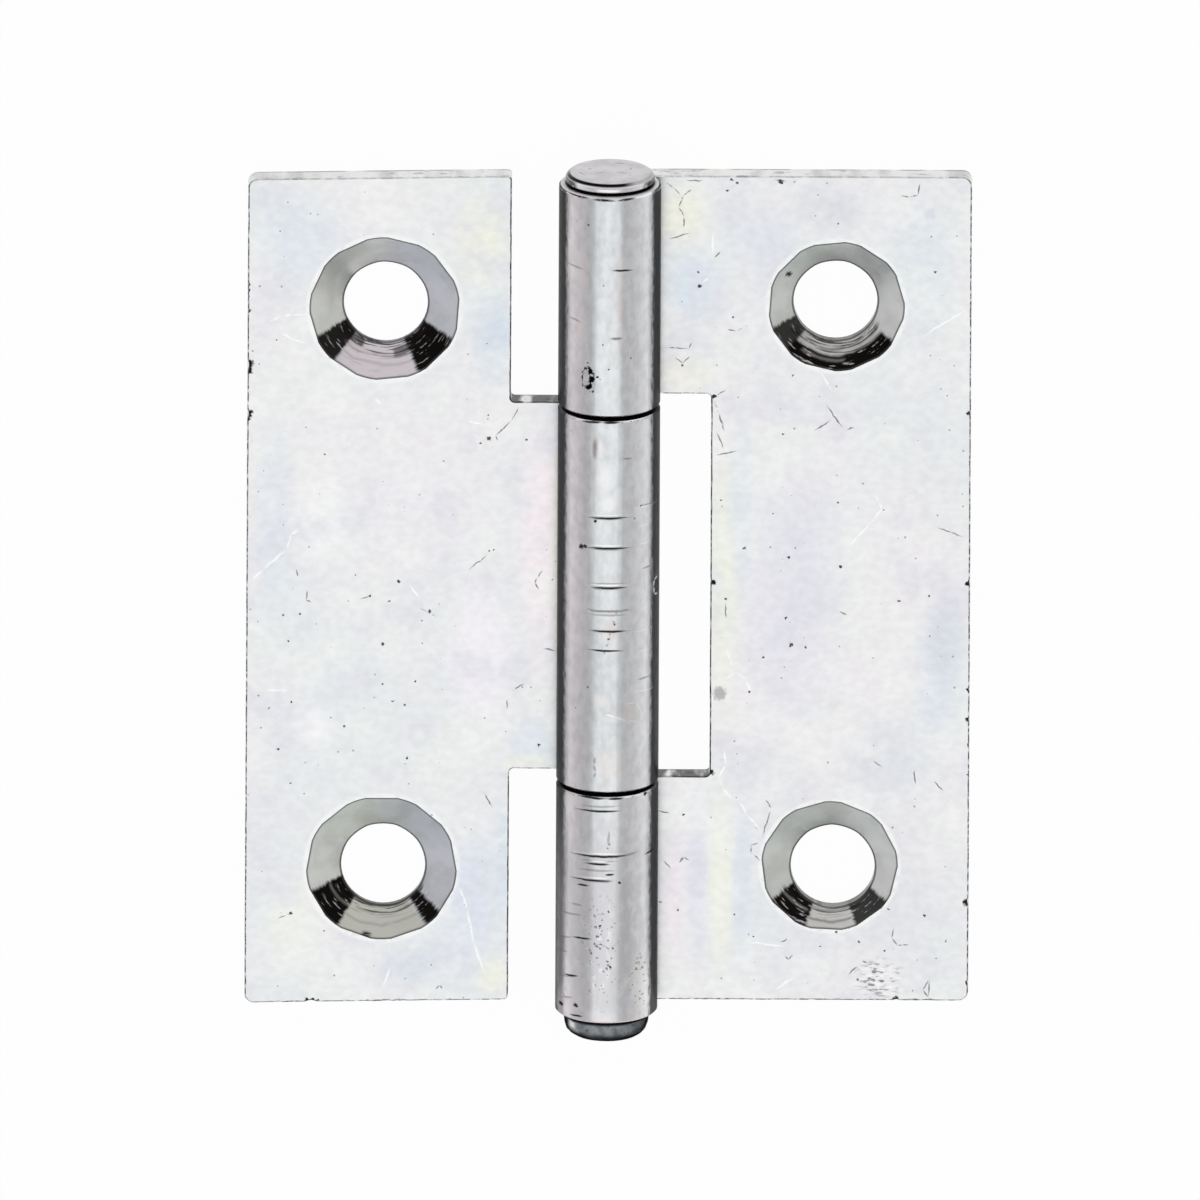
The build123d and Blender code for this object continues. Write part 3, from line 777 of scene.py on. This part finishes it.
left_dark_lines = (
    ((-1.05, 4.62), (1.05, 4.62)), ((-1.1, 3.14), (1.1, 3.14)), ((-0.9, 1.21), (1.0, 1.21)),
    ((-0.93, -0.9), (1.0, -0.92)), ((-1.3, 9.27), (-0.3, 9.3), (0.5, 9.3)), ((-0.95, -1.84), (0.75, -1.86)),
)
left_faint_lines = (
    ((-1.0, 0.09), (1.1, 0.07)), ((-0.9, -0.1), (0.9, -0.12)), ((-0.9, 1.42), (0.9, 1.42)),
    ((-1.0, 0.14), (-0.6, 0.05), (-0.2, 0.11), (0.2, 0.03), (0.6, 0.1), (1.0, 0.1)),
    ((-0.9, 4.78), (0.7, 4.76)), ((0.62, 7.51), (1.08, 7.5)), ((1.5, 5.11), (2.3, 4.95)),
    ((1.55, 2.0), (2.05, 2.0)), ((1.4, -3.39), (1.95, -3.38)),
    ((0.44, 0.16), (0.35, -0.12)), ((0.22, -0.36), (0.34, -0.6)), ((0.09, -0.95), (0.09, -1.12)),
    ((0.13, -1.2), (-0.03, -1.33)), ((0.0, -1.5), (-0.1, -1.66)), ((-0.13, -1.78), (-0.19, -2.05)),
    ((-0.58, -7.06), (-0.62, -7.44), (-0.55, -7.81), (-0.62, -8.09)),
)
left_light_lines = (
    ((-1.0, 4.77), (1.0, 4.77)), ((-1.0, 3.28), (1.0, 3.28)), ((-0.9, 1.35), (0.95, 1.35)),
    ((1.15, 5.03), (2.05, 4.98)), ((1.37, 4.1), (1.94, 4.05)), ((1.32, 3.23), (1.98, 3.19)),
    ((1.1, -3.93), (2.12, -4.04)), ((1.15, -1.01), (1.9, -1.04)), ((1.5, 0.02), (1.94, 0.05)),
    ((1.41, -2.04), (1.94, -2.03)), ((2.28, 1.25), (2.14, 1.15), (2.1, 0.85), (2.14, 0.55), (2.28, 0.4)),
    ((-0.1, -4.95), (0.35, -5.09), (0.88, -5.33), (1.41, -5.43)),
    ((0.79, -4.49), (1.32, -4.48), (1.58, -5.01)),
)
left_knuckle_pits = (
    (-1.25, 3.14, 0.15), (-1.08, 3.18, 0.12), (-0.62, 4.45, 0.08), (-0.93, -3.68, 0.06), (1.51, 5.1, 0.06),
    (0.31, -0.56, 0.05), (0.02, -1.28, 0.05),
)
left_ring_pits = ((2.27, 0.83, 0.1, 0.3),)
left_stains_and_glints = (
    ((-0.64, 8.0, 0.2, 0.75), (186, 180, 180), 0.9), ((-0.66, 8.0, 0.13, 0.62), (160, 154, 155), 0.9),
    # The pale washes at y 6.6 and y 5.3, just above roll marks, are painted glints.
    ((-0.4, 8.05, 0.2, 0.6), (238, 238, 240), 0.8), ((-0.15, 6.6, 0.5, 1.1), (240, 240, 242), 0.9),
    ((0.0, 5.3, 0.5, 0.7), (242, 242, 244), 0.9), ((0.15, -0.9, 0.5, 1.2), (222, 214, 212), 0.7),
    ((1.0, -4.8, 0.5, 0.8), (240, 226, 220), 0.5), ((-0.4, -4.3, 0.5, 0.5), (244, 236, 232), 0.5),
    ((0.3, -5.2, 1.0, 0.25), (244, 238, 236), 0.45), ((0.2, -7.5, 1.0, 1.2), (236, 226, 222), 0.5),
)
left_knuckle_marks = (left_dark_lines, left_faint_lines, left_light_lines, left_knuckle_pits, left_ring_pits,
                      left_stains_and_glints, ())
dress(left_leaf, "left", left_face_marks, left_nicks, left_walls, left_seats, "middle_knuckle",
      left_knuckle_marks)
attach(left_leaf, "swinging_leaf")
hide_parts("leaf_one_knuckle")

# Pin
# A steel pin upset into a flat head at one end. The tail was hammered over the last knuckle once the hinge
# was together; it is coloured grey, with painted shade against the knuckle, round its foot and at its sides.
head_profile = ((20.385, 1.2), (20.385, 2.0), (20.40, 2.04), (20.44, 2.065), (20.59, 2.07), (20.67, 2.03),
                (20.75, 1.95), (20.8, 1.88), (20.822, 1.8), (20.826, 1.5), (20.82, 0.8))
shank_radius = 1.15
tail_profile = ((-21.29, 0.8), (-21.28, 1.3), (-21.22, 1.55), (-21.1, 1.73), (-20.93, 1.88), (-20.65, 1.96),
                (-20.35, 2.0), (-20.18, 2.005), (-20.13, 1.95), (-20.122, 1.16))
tail_seat = -20.1
profile = ((-21.295, 0.0), *tail_profile, (tail_seat, shank_radius), (20.37, shank_radius), *head_profile,
           (20.82, 0.0))
beaten_depth, beaten_unevenness, beaten_from = 0.02, 0.025, 1.2
steps = 120
rings = []
turned = bmesh.new()
for along, radius in profile:
    if radius == 0:
        rings.append([turned.verts.new((0, along, barrel_radius))])
        continue
    ring = []
    for step in range(steps):
        turn = 2 * math.pi * step / steps
        place = Vector((math.sin(turn), along * 0.8, math.cos(turn)))
        reach = radius
        if along < tail_seat and radius > beaten_from:
            reach += beaten_unevenness * noise.noise(place * 2.1) - beaten_depth
        across, up = reach * math.sin(turn), reach * math.cos(turn)
        ring.append(turned.verts.new((across, along, barrel_radius + up)))
    rings.append(ring)
for first, second in zip(rings, rings[1:]):
    for step in range(steps):
        corners = [first[step % len(first)], first[(step + 1) % len(first)],
                   second[(step + 1) % len(second)], second[step % len(second)]]
        turned.faces.new(dict.fromkeys(corners))
bmesh.ops.recalc_face_normals(turned, faces=turned.faces)
for face in turned.faces:
    face.smooth = True
    face.material_index = 0 if face.calc_center_median().y > 0 else 1
for edge in turned.edges:
    edge.smooth = edge.calc_face_angle(math.pi) < math.radians(40)
hinge_pin = put_in_scene(turned, "hinge_pin")


def upset_head():
    """Flat head of the pin: dull and scuffed on its end, bright round the side but for painted shade at its
    two ends, a black line between.
    """
    head = Finish("pin_head")
    cloud = head.cloud(1.2, 4)
    head.ground(head.fade(cloud, 0.35, 0.65), (190, 187, 189), (206, 204, 207))
    end_face = head.fade(head.y, 20.79, 20.81)
    side_wall = head.fade(head.y, 20.7, 20.64)
    head.lay((240, 240, 242), side_wall)
    # Painted shade: the side is darkened at its two ends, where it turns away.
    ends = head.fade(head.math("ABSOLUTE", head.x), 1.4, 1.75)
    head.lay((52, 50, 50), ends, side_wall, head.fade(head.cloud(3.0, 3), 0.3, 0.42), 0.9)
    end_plan = head.join(head.x, head.math("SUBTRACT", head.z, barrel_radius))
    end_scratches = (((-1.05, -0.2), (-0.85, -0.45)), ((-0.7, 0.3), (-0.2, 0.2)), ((0.25, 0.15), (0.8, 0.3)),
                     ((0.9, -0.2), (1.0, -0.5)), ((-1.5, 0.1), (-1.2, 0.5)), ((0.2, -1.2), (0.7, -1.1)))
    scuff = head.most(head.strokes(end_plan, end_scratches, 0.06), head.specks(2.6, 0.07, 0.5))
    head.lay((84, 80, 82), scuff, end_face, 0.6)
    lip_line = head.times(head.fade(head.y, 20.66, 20.72), head.fade(head.y, 20.815, 20.79))
    near_side = head.times(head.fade(head.z, barrel_radius - 0.6, barrel_radius + 0.4),
                           head.fade(head.x, 1.3, 0.6))
    head.lay((16, 15, 15), lip_line, head.math("MULTIPLY_ADD", near_side, 0.75, 0.25))
    head.raise_by(cloud, 0.1, 0.04)
    return head.finished(0.26)


def riveted_tail():
    """Hammered tail of the pin: grey and blotched, with painted shade that makes it nearly black against the
    knuckle, round its foot and at its sides, and a painted glint.
    """
    tail = Finish("riveted_tail")
    cloud = tail.cloud(1.6, 4)
    tail.ground(tail.fade(cloud, 0.35, 0.65), (118, 123, 126), (162, 167, 170))
    streak = tail.fade(tail.cloud(2.2, 4, shift=(9, 1, 4)), 0.55, 0.72)
    tail.lay((44, 44, 46), streak, 0.7)
    glint = tail.times(tail.fade(tail.x, -1.4, -1.55), tail.fade(tail.x, -1.8, -1.7),
                       tail.fade(tail.y, -20.75, -20.6), tail.fade(cloud, 0.4, 0.55))
    tail.lay((246, 247, 248), glint, 0.8)
    # Painted shade under the knuckle, round the foot, at both sides and over the +X side.
    seat = tail.fade(tail.y, -20.42, -20.27)
    foot_shade = tail.times(tail.fade(tail.y, -20.72, -21.0), 0.85)
    side_shade = tail.times(tail.fade(tail.math("ABSOLUTE", tail.x), 1.6, 1.85), 0.85)
    right_shade = tail.times(tail.fade(tail.x, 0.6, 1.5), 0.6)
    tail.lay((22, 21, 21), tail.most(seat, foot_shade, side_shade, right_shade))
    tail.shader.inputs["Specular Tint"].default_value = paint(120, 120, 120)
    tail.raise_by(cloud, 0.35, 0.08)
    return tail.finished(0.38)


hinge_pin.data.materials.append(upset_head())
hinge_pin.data.materials.append(riveted_tail())
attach(hinge_pin, "fixed_leaf")
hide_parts("pin")

# Floor
# A wide sheet of plain white card, which the hinge lies on with its countersunk side up. It glows to the
# camera and in reflections, so that it is as white as the page.
floor_reach = 1.0
floor_mesh = bpy.data.meshes.new("floor")
floor_mesh.from_pydata([(-floor_reach, -floor_reach, 0), (floor_reach, -floor_reach, 0),
                        (floor_reach, floor_reach, 0), (-floor_reach, floor_reach, 0)], [], [(0, 1, 2, 3)])
floor = bpy.data.objects.new("floor", floor_mesh)
bpy.context.collection.objects.link(floor)
card = bpy.data.materials.new("white_card")
card.use_nodes = True
card_nodes = Nodes(card.node_tree)
card_shader = card_nodes.tree.nodes["Principled BSDF"]
card_shader.inputs["Base Color"].default_value = (0.9, 0.9, 0.9, 1)
card_shader.inputs["Roughness"].default_value = 0.9
glow = card_nodes.node("ShaderNodeEmission")
glow.inputs["Color"].default_value = (1, 1, 1, 1)
ray = card_nodes.node("ShaderNodeLightPath").outputs
seen = card_nodes.most(ray["Is Camera Ray"], ray["Is Glossy Ray"], ray["Is Transmission Ray"])
glow_share = 0.97
blend = card_nodes.node("ShaderNodeMixShader")
card_nodes.feed(blend.inputs[0], card_nodes.times(seen, glow_share))
card_nodes.feed(blend.inputs[1], card_shader.outputs[0])
card_nodes.feed(blend.inputs[2], glow.outputs[0])
card_nodes.feed(card_nodes.tree.nodes["Material Output"].inputs["Surface"], blend.outputs[0])
floor_mesh.materials.append(card)

# Light
# One large soft box hangs over the hinge, towards the tail of the pin, and pale grey walls stand round it.
# The wall behind the camera is the palest.
scene = bpy.context.scene
soft_box = bpy.data.lights.new("soft_box", "AREA")
soft_box.shape = "RECTANGLE"
soft_box.size = 0.335
soft_box.size_y = 0.353
soft_box_radiance = 0.56
soft_box.energy = soft_box_radiance * soft_box.size * soft_box.size_y * math.pi
soft_box_object = bpy.data.objects.new("soft_box", soft_box)
soft_box_object.location = (-0.0275, -0.1235, 0.3)
bpy.context.collection.objects.link(soft_box_object)

world = bpy.data.worlds.new("studio")
scene.world = world
world.use_nodes = True
studio = Nodes(world.node_tree)
direction = studio.split(studio.node("ShaderNodeTexCoord").outputs["Generated"])
low_wall, high_wall = 0.72, 0.5
walls = studio.math("MULTIPLY_ADD", studio.fade(direction[2], 0.1, 0.75), high_wall - low_wall, low_wall)
extra_behind = 0.35
behind_camera = studio.math("MULTIPLY_ADD", studio.fade(direction[1], 0.3, 0.6), extra_behind, 1.0)
background = studio.tree.nodes["Background"]
background.inputs["Color"].default_value = (1, 1, 1, 1)
studio.feed(background.inputs["Strength"], studio.times(walls, behind_camera))

# Camera
# It looks down on the hinge from the end with the pin's head. It shows no perspective, like a lens from
# very far away.
scene.view_settings.view_transform = "Standard"
picture_width = 1200
pixels_per_metre = 21550
tilt = math.radians(18.4)
roll = math.radians(0.28)
face_centre = Vector((0, 0, sheet * millimetre))
face_centre_pixel = (608.2, 589.0)
stand_off = 0.3
camera_data = bpy.data.cameras.new("camera")
camera_data.type = "ORTHO"
camera_data.ortho_scale = picture_width / pixels_per_metre
camera = bpy.data.objects.new("camera", camera_data)
bpy.context.collection.objects.link(camera)
turn = Matrix.Rotation(-tilt, 3, "X") @ Matrix.Rotation(roll, 3, "Z")
right_by = (picture_width / 2 - face_centre_pixel[0]) / pixels_per_metre
up_by = (face_centre_pixel[1] - picture_width / 2) / pixels_per_metre
camera.location = face_centre + turn @ Vector((right_by, up_by, stand_off))
camera.rotation_mode = "QUATERNION"
camera.rotation_quaternion = turn.to_quaternion()
scene.camera = camera
